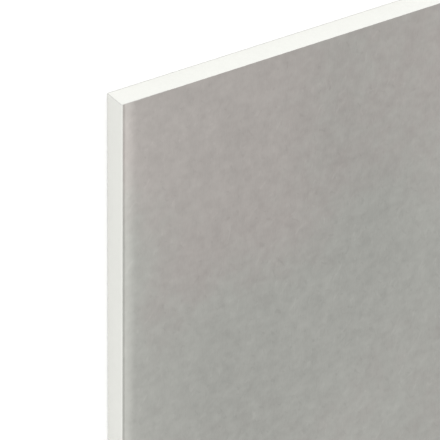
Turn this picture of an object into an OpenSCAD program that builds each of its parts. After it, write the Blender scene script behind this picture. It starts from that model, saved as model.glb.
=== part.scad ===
// Square-edge drywall sheet, lying flat with its grey back paper up.
// A gypsum core is sandwiched between two papers. The ivory face paper covers the
// underside, folds up round both long edges and laps onto the back, where the grey
// back paper is bedded over its laps. The two short ends are cut square, so the core
// and the edges of both papers show there.
//
// Frame: +X along the length, +Y across the width, +Z up, millimetres.
// Origin: centre of the underside.

/* [Sheet] */
// Length of the sheet, between the two cut ends
board_l = 2400; // [1200:100:3600]
// Width of the sheet, over the two paper-bound long edges
board_w = 1200; // [600:50:1350]
// Thickness of the sheet, over both papers
board_t = 12.5; // [9.5:0.5:25]

/* [Papers] */
// Thickness of the ivory face paper
face_paper_t = 0.35; // [0.2:0.05:0.5]
// Thickness of the grey back paper
back_paper_t = 0.3; // [0.2:0.05:0.5]

/* [Long edges] */
// Outer radius of the face paper's folds, along all four long arrises
fold_r = 0.6; // [0.6:0.1:2]
// Width of each lap of the face paper on the back, from the long edge to its cut edge
lap_w = 24; // [15:1:40]
// Flat of the lap left bare between its fold and the edge of the back paper
bare_w = 0; // [0:0.1:3]

/* [Hidden] */
// Facets of a full circle in the folds
$fn = 48;

// Underside of the back paper, which is the top of the laps and of the core between them
back_z = board_t - back_paper_t;
// Distance from a long edge to the edge of the back paper
back_inset = fold_r + bare_w;
// Distance between the cut edges of the two laps
between_laps = board_w - 2 * lap_w;

// Section of the folded face paper's outside, drawn in by inset all round
module fold_outline(inset) {
    r = fold_r - inset;
    side_y = board_w / 2 - inset;
    low_z = inset;
    high_z = back_z - inset;
    translate([-side_y, low_z + r]) square([2 * side_y, high_z - low_z - 2 * r]);
    translate([-side_y + r, low_z]) square([2 * (side_y - r), high_z - low_z]);
    for (y = [-1, 1] * (side_y - r), z = [low_z + r, high_z - r])
        translate([y, z]) circle(r = r);
}

// Part of the section between the laps, from mid-thickness up to the back paper
module between_laps_outline() {
    translate([-between_laps / 2, board_t / 2])
        square([between_laps, back_z - board_t / 2]);
}

// Runs a section, drawn as width by height, along the whole length of the sheet
module along_sheet() {
    translate([-board_l / 2, 0, 0])
        rotate([90, 0, 90])
            linear_extrude(board_l) children();
}

// Core: fills the folded face paper, and stands up between its laps to their level
module gypsum_core() {
    color([0.97, 0.97, 0.95])
        along_sheet() {
            fold_outline(face_paper_t);
            between_laps_outline();
        }
}

// Face paper: one web under the sheet, up both long edges and lapped onto the back
module face_paper() {
    color([0.89, 0.89, 0.87])
        along_sheet()
            difference() {
                fold_outline(0);
                fold_outline(face_paper_t);
                between_laps_outline();
            }
}

// Back paper: a flat web over the core and both laps
module back_paper() {
    color([0.68, 0.66, 0.64])
        translate([-board_l / 2, back_inset - board_w / 2, back_z])
            cube([board_l, board_w - 2 * back_inset, back_paper_t]);
}

gypsum_core();
face_paper();
back_paper();
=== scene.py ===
"""Looks of a square-edge drywall sheet that lies grey back up on a pale studio floor.

The sheet is a foamed gypsum core between two papers. The ivory face paper is folded up
round both long edges and lapped onto the back, and the grey back paper covers the laps.
"""

import math

import bpy
from bpy.props import FloatProperty, FloatVectorProperty, IntProperty, PointerProperty
from mathutils import Matrix, Vector


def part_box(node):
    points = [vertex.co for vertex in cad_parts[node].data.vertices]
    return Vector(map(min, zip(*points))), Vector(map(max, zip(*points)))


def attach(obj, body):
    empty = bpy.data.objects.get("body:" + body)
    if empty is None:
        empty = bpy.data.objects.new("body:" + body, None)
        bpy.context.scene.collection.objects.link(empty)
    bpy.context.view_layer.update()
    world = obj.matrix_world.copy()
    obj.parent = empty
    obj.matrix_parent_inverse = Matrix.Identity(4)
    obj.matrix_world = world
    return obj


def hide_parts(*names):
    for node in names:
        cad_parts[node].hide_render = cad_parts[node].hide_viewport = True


bl_info = {
    "name": "Drywall Sheet",
    "version": (1, 0, 0),
    "blender": (4, 5, 0),
    "location": "3D View > Sidebar > Drywall",
    "description": "Gypsum core, ivory face paper and grey back paper of a drywall sheet",
    "category": "Object",
}

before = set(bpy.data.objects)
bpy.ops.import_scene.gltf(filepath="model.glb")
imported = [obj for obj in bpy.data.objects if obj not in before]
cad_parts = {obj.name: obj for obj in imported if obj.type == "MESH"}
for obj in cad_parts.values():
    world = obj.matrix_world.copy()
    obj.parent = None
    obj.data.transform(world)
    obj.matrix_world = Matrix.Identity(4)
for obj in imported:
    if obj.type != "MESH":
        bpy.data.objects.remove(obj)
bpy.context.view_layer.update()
CORE_LOW, CORE_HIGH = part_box("gypsum_core")
FACE_LOW, FACE_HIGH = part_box("face_paper")
BACK_LOW, BACK_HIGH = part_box("back_paper")

MM = 0.001
SHEET_LENGTH = FACE_HIGH.x - FACE_LOW.x
BACK_LEVEL = BACK_LOW.z
FACE_PAPER_THICK = CORE_LOW.z - FACE_LOW.z
BACK_PAPER_THICK = BACK_HIGH.z - BACK_LOW.z
FOLD_RADIUS = FACE_HIGH.y - BACK_HIGH.y
# Where each of the face paper's laps on the back ends, from the middle of the sheet
LAP_EDGE = min(
    abs(vertex.co.y)
    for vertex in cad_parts["face_paper"].data.vertices
    if vertex.co.z > BACK_LEVEL - FACE_PAPER_THICK / 2
)
# The corner of the grey face that the camera looks at
CORNER = Vector((BACK_LOW.x, FACE_LOW.y, BACK_HIGH.z))
# Faces that meet at more than this angle are shaded as an arris, not as a curve
ARRIS_ANGLE = math.radians(35)
# Points that lie closer than this count as one
SAME_PLACE = 0.01 * MM
# Where the grey paper's lighter and darker clouds lie, and its warmer and cooler patches. The
# clouds also paint a light falloff, lighter at the viewed corner
CLOUD_AND_PAINTED_LIGHT_SHIFT = (-1.5, -1.25, 0.0)
HUE_SHIFT = (-0.5, -2.5, 0.0)


# ---------------------------------------------------------------- sizes and colours


class GypsumCoreLooks(bpy.types.PropertyGroup):
    """Grain and pores of the core's two cut ends."""

    color: FloatVectorProperty(
        name="Gypsum", description="Colour of set gypsum", subtype="COLOR",
        default=(0.793, 0.797, 0.76), min=0, max=1,
    )
    pitch: FloatProperty(
        name="Pitch", description="Spacing of the points that shape a cut end",
        default=0.7 * MM, min=0.4 * MM, unit="LENGTH",
    )
    corner_steps: IntProperty(
        name="Corner Steps", description="Faces round each long arris of the core",
        default=4, min=1, max=16,
    )
    grain_size: FloatProperty(
        name="Grain Size", description="Size of the sawn grain",
        default=1.8 * MM, min=0.5 * MM, unit="LENGTH",
    )
    grain_depth: FloatProperty(
        name="Grain Depth", description="How deep the sawn grain goes in",
        default=0.07 * MM, min=0, unit="LENGTH",
    )
    pore_spacing: FloatProperty(
        name="Pore Spacing", description="Mean distance between large air pores",
        default=7 * MM, min=1 * MM, unit="LENGTH",
    )
    pore_radius: FloatProperty(
        name="Pore Radius", description="Radius of the largest air pores",
        default=1.1 * MM, min=0, unit="LENGTH",
    )
    pore_depth: FloatProperty(
        name="Pore Depth", description="Depth of the largest air pores",
        default=0.3 * MM, min=0, unit="LENGTH",
    )
    # Painted shade: the floor of each pore is coloured darker, where shade would fall
    pore_painted_shade: FloatProperty(
        name="Pore Shade", description="How much darker the floor of a pore is",
        default=0.12, min=0, max=1, subtype="FACTOR",
    )


class PaperEdges(bpy.types.PropertyGroup):
    """Folds and cut ends, which both papers share."""

    fold_steps: IntProperty(
        name="Fold Steps", description="Faces round each quarter-turn fold",
        default=8, min=2, max=32,
    )
    rag_depth: FloatProperty(
        name="Rag Depth", description="How deep the ragged fibre of a cut end goes in",
        default=0.12 * MM, min=0, unit="LENGTH",
    )
    rag_size: FloatProperty(
        name="Rag Size", description="Length of one rag along a cut end",
        default=2.5 * MM, min=0.1 * MM, unit="LENGTH",
    )
    rag_pitch: FloatProperty(
        name="Rag Pitch", description="Spacing of the points that shape the rags",
        default=0.8 * MM, min=0.2 * MM, unit="LENGTH",
    )


class FacePaperLooks(bpy.types.PropertyGroup):
    """Finish of the ivory web."""

    color: FloatVectorProperty(
        name="Ivory", description="Colour of the face paper", subtype="COLOR",
        default=(0.711, 0.714, 0.676), min=0, max=1,
    )
    ply_color: FloatVectorProperty(
        name="Inner Plies", description="Colour of the paper's cut edge", subtype="COLOR",
        default=(0.58, 0.582, 0.555), min=0, max=1,
    )
    fibre_size: FloatProperty(
        name="Fibre Size", description="Width of the paper's fibre",
        default=0.5 * MM, min=0.1 * MM, unit="LENGTH",
    )


class BackPaperLooks(bpy.types.PropertyGroup):
    """Finish of the grey web: its colours, its layers of fibre and its long margins."""

    warm_color: FloatVectorProperty(
        name="Warm Grey", description="Colour of the warmer fibre", subtype="COLOR",
        default=(0.329, 0.308, 0.2915), min=0, max=1,
    )
    cool_color: FloatVectorProperty(
        name="Cool Grey", description="Colour of the cooler fibre", subtype="COLOR",
        default=(0.3145, 0.3155, 0.294), min=0, max=1,
    )
    patch_size: FloatProperty(
        name="Patch Size", description="Size of the warmer and cooler patches",
        default=150 * MM, min=10 * MM, unit="LENGTH",
    )
    # The clouds are random tone that also paints a light falloff over the viewed corner
    cloud_and_painted_light_size: FloatProperty(
        name="Cloud Size", description="Width of the broad lighter and darker clouds",
        default=120 * MM, min=10 * MM, unit="LENGTH",
    )
    cloud_and_painted_light_tone: FloatProperty(
        name="Cloud Tone", description="How far the clouds lighten and darken the paper",
        default=0.15, min=0, max=1, subtype="FACTOR",
    )
    mottle_size: FloatProperty(
        name="Mottle Size", description="Size of the mottle within the clouds",
        default=8 * MM, min=1 * MM, unit="LENGTH",
    )
    mottle_tone: FloatProperty(
        name="Mottle Tone", description="How far the mottle lightens and darkens the paper",
        default=0.075, min=0, max=1, subtype="FACTOR",
    )
    formation_size: FloatProperty(
        name="Formation Size", description="Size of the knots that the fibre settles in",
        default=3.6 * MM, min=0.5 * MM, unit="LENGTH",
    )
    formation_tone: FloatProperty(
        name="Formation Tone", description="How far the knots lighten and darken the paper",
        default=0.09, min=0, max=1, subtype="FACTOR",
    )
    fibre_size: FloatProperty(
        name="Fibre Size", description="Width of the paper's fibre",
        default=0.7 * MM, min=0.1 * MM, unit="LENGTH",
    )
    fibre_tone: FloatProperty(
        name="Fibre Tone", description="How far the fibre lightens and darkens the paper",
        default=0.06, min=0, max=1, subtype="FACTOR",
    )
    speck_tone: FloatProperty(
        name="Speck Tone", description="How far the loose hairs and flecks stand out",
        default=0.05, min=0, max=1, subtype="FACTOR",
    )
    # Painted highlight: the lighter margin stands partly for thinner paper and partly for the
    # highlight of the eased long edge
    margin: FloatProperty(
        name="Margin", description="Width of the thinned, lighter margin along a long edge",
        default=7.8 * MM, min=0, unit="LENGTH",
    )
    margin_lift_and_highlight: FloatProperty(
        name="Margin Tone", description="How much lighter the margin is",
        default=0.325, min=0, max=1, subtype="FACTOR",
    )
    # The feather carries the margin's lighter paper and painted highlight on, more faintly
    feather_lift_and_highlight: FloatProperty(
        name="Feather Tone", description="How much lighter the paper is just past the margin",
        default=0.07, min=0, max=1, subtype="FACTOR",
    )
    # Painted shade: the dark rim stands partly for darker slit fibre and partly for the shade of
    # the groove where the grey paper ends at the fold
    rim: FloatProperty(
        name="Rim", description="Width of the dark, slit rim along a long edge",
        default=1.15 * MM, min=0, unit="LENGTH",
    )
    rim_dark_and_shade: FloatProperty(
        name="Rim Tone", description="How much darker the rim is",
        default=0.25, min=0, max=1, subtype="FACTOR",
    )
    lap_tone: FloatProperty(
        name="Lap Tone", description="How much lighter the paper is over a lap",
        default=0.02, min=0, max=1, subtype="FACTOR",
    )
    relief: FloatProperty(
        name="Relief", description="How far the fibre stands up",
        default=0.05 * MM, min=0, unit="LENGTH",
    )


class StudioSetup(bpy.types.PropertyGroup):
    """Floor, light and camera."""

    floor_color: FloatVectorProperty(
        name="Floor", description="Colour of the floor", subtype="COLOR",
        default=(0.97, 0.97, 0.97), min=0, max=1,
    )
    floor_reach: FloatProperty(
        name="Floor Reach", description="From the middle of the floor to each of its sides",
        default=300.0, min=2, unit="LENGTH",
    )
    sky_strength: FloatProperty(
        name="Sky", description="Brightness of the even light from all round",
        default=1.0, min=0,
    )
    sun_strength: FloatProperty(
        name="Sun", description="Strength of the broad lamp", default=0.7, min=0,
    )
    sun_spread: FloatProperty(
        name="Sun Spread", description="How wide the broad lamp looks from the sheet",
        default=math.radians(50), min=0, unit="ROTATION",
    )
    sun_from: FloatVectorProperty(
        name="Sun From", description="Direction from the sheet to the broad lamp",
        default=(-0.5, -0.08, 0.85), subtype="DIRECTION",
    )
    lens: FloatProperty(
        name="Lens", description="Focal length in millimetres", default=320, min=20,
    )
    distance: FloatProperty(
        name="Distance", description="From the camera to the point it looks at",
        default=1.767, min=0.1, unit="LENGTH",
    )
    aim_along: FloatProperty(
        name="Aim Along", description="From the cut end to the point looked at",
        default=76.7 * MM, unit="LENGTH",
    )
    aim_across: FloatProperty(
        name="Aim Across", description="From the long edge to the point looked at",
        default=52.3 * MM, unit="LENGTH",
    )
    azimuth: FloatProperty(
        name="Azimuth", description="Bearing of the camera, from +X towards +Y",
        default=math.radians(-138.76), unit="ROTATION",
    )
    elevation: FloatProperty(
        name="Elevation", description="Height of the camera above the grey face",
        default=math.radians(44.46), unit="ROTATION",
    )
    roll: FloatProperty(
        name="Roll", description="Turn of the camera that stands the long edge upright",
        default=math.radians(129.58), unit="ROTATION",
    )


# ---------------------------------------------------------------- node helpers


class Bench:
    """Adds nodes to one tree and joins their sockets."""

    def __init__(self, tree):
        self.tree = tree

    def feed(self, socket, value):
        """Links a socket from another one, or sets it to a plain value."""
        if isinstance(value, bpy.types.NodeSocket):
            self.tree.links.new(value, socket)
        else:
            socket.default_value = value

    def node(self, kind, inputs=None, **settings):
        """Adds one node, with its settings and what goes into it."""
        node = self.tree.nodes.new(kind)
        for name, value in settings.items():
            setattr(node, name, value)
        for name, value in (inputs or {}).items():
            self.feed(node.inputs[name], value)
        return node

    def add(self, kind, inputs=None, out=0, **settings):
        """Adds one node and returns the output that is asked for."""
        return self.node(kind, inputs, **settings).outputs[out]

    def math(self, operation, *values):
        """Adds a Math node on one, two or three values."""
        return self.add("ShaderNodeMath", dict(enumerate(values)), operation=operation)

    def fade(self, value, low, high):
        """A smooth step of value, from 0 at low to 1 at high."""
        inputs = {"Value": value, "From Min": low, "From Max": high}
        return self.add("ShaderNodeMapRange", inputs, interpolation_type="SMOOTHSTEP")

    def total(self, first, *rest):
        """The sum of two or more values."""
        for value in rest:
            first = self.math("ADD", first, value)
        return first

    def swing(self, signal, amount):
        """A 0 to 1 signal turned into one that swings by amount either side of zero."""
        return self.math("MULTIPLY_ADD", signal, 2 * amount, -amount)

    def part(self, vector, axis):
        """The X, Y or Z part of a vector, for an axis of 0, 1 or 2."""
        return self.add("ShaderNodeSeparateXYZ", {0: vector}, out=axis)

    def noise(self, place, size, detail=2.0, roughness=0.5):
        """Cloudy noise from 0 to 1, with features about size metres across."""
        scale = 1 / size if isinstance(size, float) else self.math("DIVIDE", 1.0, size)
        inputs = {"Vector": place, "Scale": scale, "Detail": detail, "Roughness": roughness}
        return self.add("ShaderNodeTexNoise", inputs)

    def flecks(self, place, spacing, radius):
        """Sparse round flecks from 0 to 1, at one random size in each cell of that spacing."""
        scale = self.math("DIVIDE", 1.0, spacing)
        cell = self.node("ShaderNodeTexVoronoi", {"Vector": place, "Scale": scale})
        # The cube of an even random number makes most flecks small and few large
        pick = self.math("POWER", self.part(cell.outputs["Color"], 0), 3.0)
        reach = self.math("MULTIPLY", pick, radius)
        gap = self.math("MULTIPLY", cell.outputs["Distance"], spacing)
        return self.fade(self.math("DIVIDE", gap, reach), 1.0, 0.3)

    def end_side(self, place):
        """Minus one on the cut end at -X, and one on the other."""
        return self.math("SIGN", self.part(place, 0))

    def end_spot(self, place):
        """The point, moved so that the patterns on the two cut ends differ."""
        shift = self.add("ShaderNodeCombineXYZ", {"Y": self.end_side(place)})
        return self.add("ShaderNodeVectorMath", {0: place, 1: shift}, operation="ADD")


# ---------------------------------------------------------------- materials


def new_material(name, roughness, specular):
    """A material with one Principled shader, and the bench that its nodes are built on."""
    material = bpy.data.materials.new(name)
    material.use_nodes = True
    shader = material.node_tree.nodes["Principled BSDF"]
    shader.inputs["Roughness"].default_value = roughness
    shader.inputs["Specular IOR Level"].default_value = specular
    return material, shader, Bench(material.node_tree)


def own_place(bench, shift=(0, 0, 0), turn=0.0, stretch=1.0):
    """The point on the piece, in metres, for a pattern moved, turned and drawn out in X."""
    inputs = {"Vector": bench.add("ShaderNodeTexCoord", out=3), "Location": shift}
    inputs.update({"Rotation": (0, 0, turn), "Scale": (stretch, 1, 1)})
    return bench.add("ShaderNodeMapping", inputs, vector_type="TEXTURE")


def two_colors(bench, share, first, second):
    """The first colour where share is 0, the second where it is 1, and a mix between."""
    # A Mix node's inputs 6 and 7 and its output 2 are the ones that carry colours
    inputs = {0: share, 6: (*first, 1), 7: (*second, 1)}
    return bench.add("ShaderNodeMix", inputs, out=2, data_type="RGBA")


def finish(bench, shader, color, tone, height, strength, depth):
    """Gives a shader its colour times a tone, and bumps up to depth metres high."""
    toned = bench.add("ShaderNodeVectorMath", {0: color, "Scale": tone}, operation="SCALE")
    bench.feed(shader.inputs["Base Color"], toned)
    inputs = {"Height": height, "Strength": strength, "Distance": depth}
    bench.feed(shader.inputs["Normal"], bench.add("ShaderNodeBump", inputs))


def hairs(bench, place, curl, width, share):
    """Fine curled fibres from 0 to 1: lengths of the lines where a noise is at its middle."""
    off = bench.math("ABSOLUTE", bench.math("SUBTRACT", bench.noise(place, curl, 0.0), 0.5))
    line = bench.fade(off, 1.5 * width / curl, 0.5 * width / curl)
    # A second noise keeps some lengths of each line, and drops the rest
    kept = bench.fade(bench.noise(place, 0.6 * curl, 1.0), 1 - share, 1.04 - share)
    return bench.math("MULTIPLY", line, kept)


def long_margins(bench, looks, inward, across):
    """What the thinned margin with its painted highlight, the slit rim with its painted shade, and
    the lap below add to the grey paper's tone.
    """
    # Each begins at the first of its two distances, and is at its strongest from the second on
    # Margin and feather: thinner paper, plus a painted highlight of the eased long edge
    margin = bench.fade(inward, looks.margin, 0.12 * looks.margin)
    feather = bench.fade(inward, 2.5 * looks.margin, 0.25 * looks.margin)
    # Dark rim: slit fibre, plus painted shade of the groove at the paper's edge
    rim = bench.fade(inward, looks.rim, 0.7 * looks.rim)
    lap = bench.fade(across, LAP_EDGE - 8 * MM, LAP_EDGE + 12 * MM)
    return bench.total(
        bench.math("MULTIPLY", margin, looks.margin_lift_and_highlight),
        bench.math("MULTIPLY", feather, looks.feather_lift_and_highlight),
        bench.math("MULTIPLY", rim, -looks.rim_dark_and_shade),
        bench.math("MULTIPLY", lap, looks.lap_tone),
    )


def grey_paper(looks):
    """Recycled-fibre back paper: mottled and flecked, with clouds that also paint a light falloff,
    long edges lighter from thinner paper and a painted highlight, and a dark rim of slit fibre and
    painted shade.
    """
    material, shader, bench = new_material("grey_back_paper", 0.9, 0.25)
    place = own_place(bench)
    # Painted light: besides random tone, the clouds paint a light falloff that is lighter at the
    # viewed corner
    cloud_and_painted_light = bench.noise(own_place(bench, CLOUD_AND_PAINTED_LIGHT_SHIFT, stretch=2.5), looks.cloud_and_painted_light_size, 1.0)
    mottle = bench.noise(place, looks.mottle_size, 1.0)
    formation = bench.noise(place, looks.formation_size, 1.0)
    fibre = bench.noise(own_place(bench, stretch=4.0), looks.fibre_size, roughness=0.6)
    dark_place = own_place(bench, shift=(0.3, 0.1, 0), turn=0.6, stretch=1.6)
    light_place = own_place(bench, shift=(0.1, 0.4, 0), turn=-0.5, stretch=1.8)
    dark_hairs = hairs(bench, dark_place, curl=5 * MM, width=0.22 * MM, share=0.38)
    light_hairs = hairs(bench, light_place, curl=6 * MM, width=0.25 * MM, share=0.38)
    fleck_place = own_place(bench, shift=(0.5, 0.3, 0), turn=0.8, stretch=1.5)
    dark_flecks = bench.flecks(own_place(bench, stretch=1.5), 3.4 * MM, 0.9 * MM)
    light_flecks = bench.flecks(fleck_place, 4.2 * MM, 1.0 * MM)

    # The way in from the nearer long edge, with a waver so that the margins aren't ruled
    across = bench.math("ABSOLUTE", bench.part(place, 1))
    waver = bench.swing(bench.noise(place, 12 * MM), 0.25 * MM)
    inward = bench.total(bench.math("MULTIPLY", across, -1.0), waver, BACK_HIGH.y)
    tone = bench.total(
        bench.swing(cloud_and_painted_light, looks.cloud_and_painted_light_tone),
        bench.swing(mottle, looks.mottle_tone),
        bench.swing(formation, looks.formation_tone),
        bench.swing(fibre, looks.fibre_tone),
        bench.math("MULTIPLY", bench.math("SUBTRACT", light_hairs, dark_hairs), looks.speck_tone),
        bench.math("MULTIPLY", bench.math("SUBTRACT", light_flecks, dark_flecks), looks.speck_tone),
        long_margins(bench, looks, inward, across),
        1.0,
    )
    # Warm and cool fibre share the paper in broad patches, and the margin leans to cool
    lean = bench.fade(inward, 2 * looks.margin, 0.5 * looks.margin)
    cool = bench.total(
        bench.noise(own_place(bench, HUE_SHIFT), looks.patch_size),
        bench.swing(bench.noise(place, 8 * MM), 0.1),
        bench.math("MULTIPLY", lean, 0.08),
    )
    color = two_colors(bench, bench.fade(cool, 0.36, 0.62), looks.warm_color, looks.cool_color)
    relief = bench.total(
        bench.swing(mottle, 1.0),
        bench.swing(formation, 0.6),
        bench.swing(fibre, 0.25),
        bench.math("MULTIPLY", bench.math("ADD", light_hairs, dark_hairs), 0.3),
    )
    finish(bench, shader, color, tone, relief, 1.0, looks.relief)
    return material


def ivory_paper(looks, edges):
    """Smooth ivory face paper, with a close, faint fibre and darker plies where it is cut."""
    material, shader, bench = new_material("ivory_face_paper", 0.75, 0.3)
    place = own_place(bench)
    formation = bench.noise(place, 5 * MM, 3.0)
    fibre = bench.noise(own_place(bench, stretch=5.0), looks.fibre_size, 3.0, 0.6)
    tone = bench.total(bench.swing(formation, 0.02), bench.swing(fibre, 0.015), 1.0)
    # What lies this near to either end of the sheet is cut paper
    out = bench.math("ABSOLUTE", bench.part(place, 0))
    deepest = SHEET_LENGTH / 2 - edges.rag_depth - SAME_PLACE
    cut = bench.math("GREATER_THAN", out, deepest)
    color = two_colors(bench, cut, looks.color, looks.ply_color)
    finish(bench, shader, color, tone, fibre, 0.3, 0.03 * MM)
    return material


def gypsum(looks):
    """Set gypsum: chalky white, with a fine closed grain and painted shade in its pores."""
    material, shader, bench = new_material("foamed_gypsum", 0.95, 0.2)
    place = own_place(bench)
    grain = bench.noise(place, 0.9 * MM, 4.0, 0.65)
    patch = bench.noise(place, 14 * MM)
    pores = bench.flecks(bench.end_spot(place), looks.pore_spacing, looks.pore_radius)
    # Painted shade: the pores are coloured darker, as their own shade
    shade = bench.math("MULTIPLY", pores, -looks.pore_painted_shade)
    tone = bench.total(bench.swing(grain, 0.035), bench.swing(patch, 0.02), shade, 1.0)
    finish(bench, shader, tuple(looks.color), tone, grain, 0.5, 0.08 * MM)
    return material


# ---------------------------------------------------------------- geometry nodes


def new_tree(name, sockets):
    """A geometry tree with these named inputs, its bench, and its input sockets by name."""
    tree = bpy.data.node_groups.new(name, "GeometryNodeTree")
    for title, kind in sockets.items():
        tree.interface.new_socket(title, in_out="INPUT", socket_type="NodeSocket" + kind)
    tree.interface.new_socket("Geometry", in_out="OUTPUT", socket_type="NodeSocketGeometry")
    bench = Bench(tree)
    return tree, bench, bench.node("NodeGroupInput").outputs


def sink_ends(bench, mesh, depth):
    """Moves the points of both cut ends in, along the sheet, by that depth."""
    here = bench.add("GeometryNodeInputPosition")
    inward = bench.math("MULTIPLY", bench.end_side(here), -1.0)
    offset = bench.add("ShaderNodeCombineXYZ", {"X": bench.math("MULTIPLY", inward, depth)})
    return bench.add("GeometryNodeSetPosition", {"Geometry": mesh, "Offset": offset})


def close_tree(bench, mesh, material):
    """Ends a tree: real geometry and its material."""
    mesh = bench.add("GeometryNodeRealizeInstances", {"Geometry": mesh})
    mesh = bench.add("GeometryNodeSetMaterial", {"Geometry": mesh, "Material": material})
    bench.node("NodeGroupOutput", {"Geometry": mesh})


def slab_end(bench, given):
    """One end of the slab: a flat grid drawn to the section, with arrises and rebates."""
    half = bench.math("MULTIPLY", given["Width"], 0.5)
    radius = given["Corner Radius"]
    depth = bench.math("SUBTRACT", given["Back Level"], given["Underside"])
    columns = bench.math("ROUND", bench.math("DIVIDE", given["Width"], given["Pitch"]))
    rows = bench.math("ROUND", bench.math("DIVIDE", depth, given["Pitch"]))
    inputs = {"Size X": given["Width"], "Size Y": 1.0, "Vertices X": columns, "Vertices Y": rows}
    grid = bench.add("GeometryNodeMeshGrid", inputs)

    # The outermost columns of the grid are drawn together to turn each arris, and the
    # others spread evenly over what is left of the width
    here = bench.add("GeometryNodeInputPosition")
    column = bench.part(here, 0)
    out = bench.math("ABSOLUTE", column)
    arris = bench.math("MULTIPLY", given["Corner Steps"], given["Pitch"])
    inner = bench.math("SUBTRACT", half, arris)
    past = bench.math("MAXIMUM", bench.math("SUBTRACT", out, inner), 0.0)
    turn = bench.math("MULTIPLY", bench.math("DIVIDE", past, arris), math.pi / 2)
    even = bench.math("DIVIDE", bench.math("MINIMUM", out, inner), inner)
    reach = bench.total(
        bench.math("MULTIPLY", even, bench.math("SUBTRACT", half, radius)),
        bench.math("MULTIPLY", bench.math("SINE", turn), radius),
    )
    across = bench.math("MULTIPLY", reach, bench.math("SIGN", column))
    over_center = bench.math("MULTIPLY", bench.math("COSINE", turn), radius)
    rise = bench.math("SUBTRACT", radius, over_center)

    # Past the lap's edge, the top of the section drops into the rebate
    lapped = bench.math("GREATER_THAN", reach, given["Lap Edge"])
    drop = bench.math("SUBTRACT", given["Back Level"], given["Lap Level"])
    low = bench.math("ADD", given["Underside"], rise)
    high = bench.math("SUBTRACT", given["Back Level"], bench.math("MULTIPLY", drop, lapped))
    high = bench.math("SUBTRACT", high, rise)
    share = bench.math("ADD", bench.part(here, 1), 0.5)
    height = bench.math("MULTIPLY_ADD", bench.math("SUBTRACT", high, low), share, low)
    start = bench.math("MULTIPLY", given["Length"], -0.5)
    place = bench.add("ShaderNodeCombineXYZ", {"X": start, "Y": across, "Z": height})
    return bench.add("GeometryNodeSetPosition", {"Geometry": grid, "Position": place})


def slab_tree():
    """A slab whose section has rounded long arrises and a rebate for each lap, with worn ends."""
    tree, bench, given = new_tree("Gypsum Slab", {
        "Length": "Float", "Width": "Float", "Underside": "Float", "Lap Level": "Float",
        "Back Level": "Float", "Lap Edge": "Float", "Corner Radius": "Float",
        "Corner Steps": "Int", "Pitch": "Float", "Grain Size": "Float", "Grain Depth": "Float",
        "Pore Spacing": "Float", "Pore Radius": "Float", "Pore Depth": "Float",
        "Material": "Material",
    })
    end = slab_end(bench, given)
    run = bench.add("ShaderNodeCombineXYZ", {"X": 1.0})
    inputs = {"Mesh": end, "Offset": run, "Offset Scale": given["Length"], "Individual": False}
    body = bench.add("GeometryNodeExtrudeMesh", inputs, mode="FACES")
    join = bench.node("GeometryNodeJoinGeometry")
    bench.feed(join.inputs[0], bench.add("GeometryNodeFlipFaces", {"Mesh": end}))
    bench.feed(join.inputs[0], body)
    inputs = {"Geometry": join.outputs[0], "Distance": SAME_PLACE}
    slab = bench.add("GeometryNodeMergeByDistance", inputs)

    # Both ends sink by a fine grain, and deeper in scattered air pores
    spot = bench.end_spot(bench.add("GeometryNodeInputPosition"))
    pores = bench.flecks(spot, given["Pore Spacing"], given["Pore Radius"])
    deep = bench.math("MULTIPLY", pores, given["Pore Depth"])
    grain = bench.noise(spot, given["Grain Size"])
    sink = bench.math("MULTIPLY_ADD", grain, given["Grain Depth"], deep)
    close_tree(bench, sink_ends(bench, slab, sink), given["Material"])
    return tree


def web_tree():
    """A paper web: its folded section line run along the whole sheet, with ragged cut ends."""
    tree, bench, given = new_tree("Paper Web", {
        "Section": "Geometry", "Length": "Float", "Rag Depth": "Float", "Rag Size": "Float",
        "Material": "Material",
    })
    run = bench.add("ShaderNodeCombineXYZ", {"X": 1.0})
    inputs = {"Mesh": given["Section"], "Offset": run, "Offset Scale": given["Length"]}
    web = bench.add("GeometryNodeExtrudeMesh", inputs, mode="EDGES")

    # Only the higher part of the noise cuts in, so the rest of each end keeps its full length
    spot = bench.end_spot(bench.add("GeometryNodeInputPosition"))
    bite = bench.fade(bench.noise(spot, given["Rag Size"]), 0.45, 0.7)
    bite = bench.math("MULTIPLY", bite, given["Rag Depth"])
    close_tree(bench, sink_ends(bench, web, bite), given["Material"])
    return tree


def set_inputs(modifier, values):
    """Sets a tree's named inputs on its modifier, by each socket's identifier."""
    for item in modifier.node_group.interface.items_tree:
        if item.item_type == "SOCKET" and item.in_out == "INPUT" and item.name in values:
            modifier[item.identifier] = values[item.name]


# ---------------------------------------------------------------- pieces


def new_maker(name, points=()):
    """An object in the scene whose mesh is one open line through these points."""
    mesh = bpy.data.meshes.new(name)
    steps = [(i, i + 1) for i in range(len(points) - 1)]
    mesh.from_pydata(points, steps, [])
    maker = bpy.data.objects.new(name, mesh)
    bpy.context.scene.collection.objects.link(maker)
    return maker


def settle(maker, node):
    """Turns a maker object's modifiers into a plain mesh that stands for a CAD node."""
    graph = bpy.context.evaluated_depsgraph_get()
    mesh = bpy.data.meshes.new_from_object(maker.evaluated_get(graph))
    bare = maker.data
    maker.modifiers.clear()
    maker.data = mesh
    mesh.name = maker.name
    mesh.set_sharp_from_angle(angle=ARRIS_ANGLE)
    bpy.data.meshes.remove(bare)
    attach(maker, "root")
    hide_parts(node)


def straight(start, end, pitch):
    """Evenly spaced points from start to end, about a pitch apart."""
    count = max(1, round((end - start).length / pitch))
    return [start.lerp(end, step / count) for step in range(count + 1)]


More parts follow.
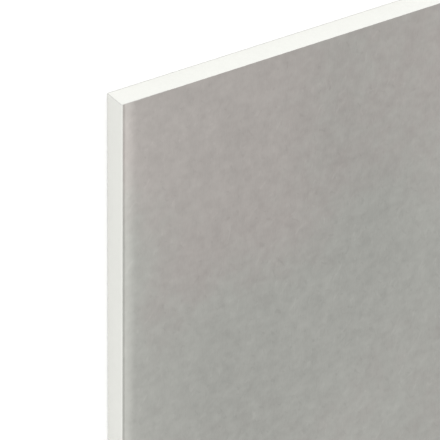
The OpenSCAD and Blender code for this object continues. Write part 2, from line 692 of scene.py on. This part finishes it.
def folded_line(corners, radius, steps, pitch):
    """Points along a line through these corners, each turned by an arc of that radius."""
    points = []
    start = corners[0]
    for before, corner, after in zip(corners, corners[1:], corners[2:]):
        into, out = (corner - before).normalized(), (after - corner).normalized()
        turn = into.angle(out)
        side = (out - into * into.dot(out)).normalized()
        bend = corner - into * radius * math.tan(turn / 2)
        centre = bend + side * radius
        points += straight(start, bend, pitch)
        swing = math.copysign(turn, into.cross(out)) / steps
        arc = [Matrix.Rotation(swing * step, 2) @ (bend - centre) for step in range(1, steps + 1)]
        points += [centre + spoke for spoke in arc[:-1]]
        start = centre + arc[-1]
    return points + straight(start, corners[-1], pitch)


def lay_web(name, corners, thick, edges, material, node):
    """Makes one paper from the middle line of its section, at its real thickness."""
    corners = [Vector(corner) for corner in corners]
    line = folded_line(corners, FOLD_RADIUS - thick / 2, edges.fold_steps, edges.rag_pitch)
    maker = new_maker(name, [(FACE_LOW.x, *point) for point in line])
    web = maker.modifiers.new("Web", "NODES")
    web.node_group = bpy.data.node_groups.get("Paper Web") or web_tree()
    set_inputs(web, {
        "Length": SHEET_LENGTH, "Rag Depth": edges.rag_depth, "Rag Size": edges.rag_size,
        "Material": material,
    })
    wall = maker.modifiers.new("Thickness", "SOLIDIFY")
    wall.thickness = thick
    wall.offset = 0.0
    wall.use_even_offset = True
    settle(maker, node)


# ---------------------------------------------------------------- operators


class DRYWALL_OT_gypsum_core(bpy.types.Operator):
    """Make the gypsum core, with grain and air pores on its cut ends"""

    bl_idname = "drywall.gypsum_core"
    bl_label = "Gypsum Core"

    def execute(self, context):
        looks = context.scene.drywall_core
        maker = new_maker("gypsum_slab")
        slab = maker.modifiers.new("Slab", "NODES")
        slab.node_group = slab_tree()
        set_inputs(slab, {
            "Length": SHEET_LENGTH, "Width": CORE_HIGH.y - CORE_LOW.y,
            "Underside": CORE_LOW.z, "Lap Level": BACK_LEVEL - FACE_PAPER_THICK,
            "Back Level": BACK_LEVEL, "Lap Edge": LAP_EDGE,
            "Corner Radius": FOLD_RADIUS - FACE_PAPER_THICK,
            "Corner Steps": looks.corner_steps, "Pitch": looks.pitch,
            "Grain Size": looks.grain_size, "Grain Depth": looks.grain_depth,
            "Pore Spacing": looks.pore_spacing, "Pore Radius": looks.pore_radius,
            "Pore Depth": looks.pore_depth, "Material": gypsum(looks),
        })
        settle(maker, "gypsum_core")
        return {"FINISHED"}


class DRYWALL_OT_face_paper(bpy.types.Operator):
    """Make the ivory face paper: under the sheet, up both long edges and lapped on the back"""

    bl_idname = "drywall.face_paper"
    bl_label = "Ivory Face Paper"

    def execute(self, context):
        looks, edges = context.scene.drywall_face, context.scene.drywall_edges
        half = FACE_PAPER_THICK / 2
        side, low, high = FACE_HIGH.y - half, FACE_LOW.z + half, FACE_HIGH.z - half
        section = [(LAP_EDGE, high), (side, high), (side, low)]
        section += [(-y, z) for y, z in reversed(section)]
        lay_web("ivory_face_web", section, FACE_PAPER_THICK, edges,
                ivory_paper(looks, edges), "face_paper")
        return {"FINISHED"}


class DRYWALL_OT_back_paper(bpy.types.Operator):
    """Make the grey back paper: a flat web over the core and both laps"""

    bl_idname = "drywall.back_paper"
    bl_label = "Grey Back Paper"

    def execute(self, context):
        looks, edges = context.scene.drywall_back, context.scene.drywall_edges
        middle = (BACK_LOW.z + BACK_HIGH.z) / 2
        section = [(BACK_HIGH.y, middle), (BACK_LOW.y, middle)]
        lay_web("grey_back_web", section, BACK_PAPER_THICK, edges,
                grey_paper(looks), "back_paper")
        return {"FINISHED"}


class DRYWALL_OT_studio(bpy.types.Operator):
    """Set up the pale floor, the soft light and the camera over the sheet's corner"""

    bl_idname = "drywall.studio"
    bl_label = "Studio"

    def execute(self, context):
        setup = context.scene.drywall_studio
        self.lay_floor(context.scene, setup)
        self.light(context.scene, setup)
        self.place_camera(context.scene, setup)
        context.scene.view_settings.view_transform = "Standard"
        return {"FINISHED"}

    def lay_floor(self, scene, setup):
        """A wide plain floor under the sheet."""
        reach = setup.floor_reach
        mesh = bpy.data.meshes.new("floor")
        corners = [(-reach, -reach, 0), (reach, -reach, 0), (reach, reach, 0), (-reach, reach, 0)]
        mesh.from_pydata(corners, [], [(0, 1, 2, 3)])
        floor = bpy.data.objects.new("floor", mesh)
        scene.collection.objects.link(floor)
        material, shader, _ = new_material("pale_floor", 1.0, 0.0)
        shader.inputs["Base Color"].default_value = (*setup.floor_color, 1)
        mesh.materials.append(material)

    def light(self, scene, setup):
        """Even light from all round, and one broad lamp over the cut end."""
        world = bpy.data.worlds.new("studio_white")
        world.use_nodes = True
        sky = world.node_tree.nodes["Background"]
        sky.inputs["Color"].default_value = (1, 1, 1, 1)
        sky.inputs["Strength"].default_value = setup.sky_strength
        scene.world = world
        lamp = bpy.data.lights.new("broad_lamp", "SUN")
        lamp.energy = setup.sun_strength
        lamp.angle = setup.sun_spread
        sun = bpy.data.objects.new("broad_lamp", lamp)
        sun.rotation_euler = Vector(setup.sun_from).to_track_quat("Z", "Y").to_euler()
        scene.collection.objects.link(sun)

    def place_camera(self, scene, setup):
        """A long lens that looks down on the corner, rolled so that the edge stands upright."""
        lens = bpy.data.cameras.new("camera")
        lens.lens = setup.lens
        lens.clip_start = 0.05
        lens.clip_end = 50.0
        camera = bpy.data.objects.new("camera", lens)
        level = math.cos(setup.elevation)
        back = Vector((
            level * math.cos(setup.azimuth),
            level * math.sin(setup.azimuth),
            math.sin(setup.elevation),
        ))
        aim = CORNER + Vector((setup.aim_along, setup.aim_across, 0))
        turn = back.to_track_quat("Z", "Y").to_matrix() @ Matrix.Rotation(setup.roll, 3, "Z")
        camera.matrix_world = Matrix.Translation(aim + back * setup.distance) @ turn.to_4x4()
        scene.collection.objects.link(camera)
        scene.camera = camera


class DRYWALL_PT_panel(bpy.types.Panel):
    """Lists the studio and the sheet's pieces, each with its sizes and colours."""

    bl_label = "Drywall Sheet"
    bl_idname = "DRYWALL_PT_panel"
    bl_space_type = "VIEW_3D"
    bl_region_type = "UI"
    bl_category = "Drywall"

    def draw(self, context):
        for operator, groups in STEPS:
            box = self.layout.box()
            for looks in (getattr(context.scene, group) for group in groups):
                for name in looks.__annotations__:
                    box.prop(looks, name)
            box.operator(operator.bl_idname)


# Each operator, in the order they run, and the scene properties to show with it
STEPS = (
    (DRYWALL_OT_studio, ["drywall_studio"]),
    (DRYWALL_OT_gypsum_core, ["drywall_core"]),
    (DRYWALL_OT_face_paper, ["drywall_face", "drywall_edges"]),
    (DRYWALL_OT_back_paper, ["drywall_back"]),
)
GROUPS = {
    "drywall_studio": StudioSetup,
    "drywall_core": GypsumCoreLooks,
    "drywall_edges": PaperEdges,
    "drywall_face": FacePaperLooks,
    "drywall_back": BackPaperLooks,
}


def register():
    for name, group in GROUPS.items():
        bpy.utils.register_class(group)
        setattr(bpy.types.Scene, name, PointerProperty(type=group))
    for operator, _ in STEPS:
        bpy.utils.register_class(operator)
    bpy.utils.register_class(DRYWALL_PT_panel)


def unregister():
    bpy.utils.unregister_class(DRYWALL_PT_panel)
    for operator, _ in reversed(STEPS):
        bpy.utils.unregister_class(operator)
    for name, group in reversed(GROUPS.items()):
        delattr(bpy.types.Scene, name)
        bpy.utils.unregister_class(group)


def main():
    """Makes the whole sheet and its studio."""
    register()
    for operator, _ in STEPS:
        group, name = operator.bl_idname.split(".")
        getattr(getattr(bpy.ops, group), name)()


if __name__ == "__main__":
    main()
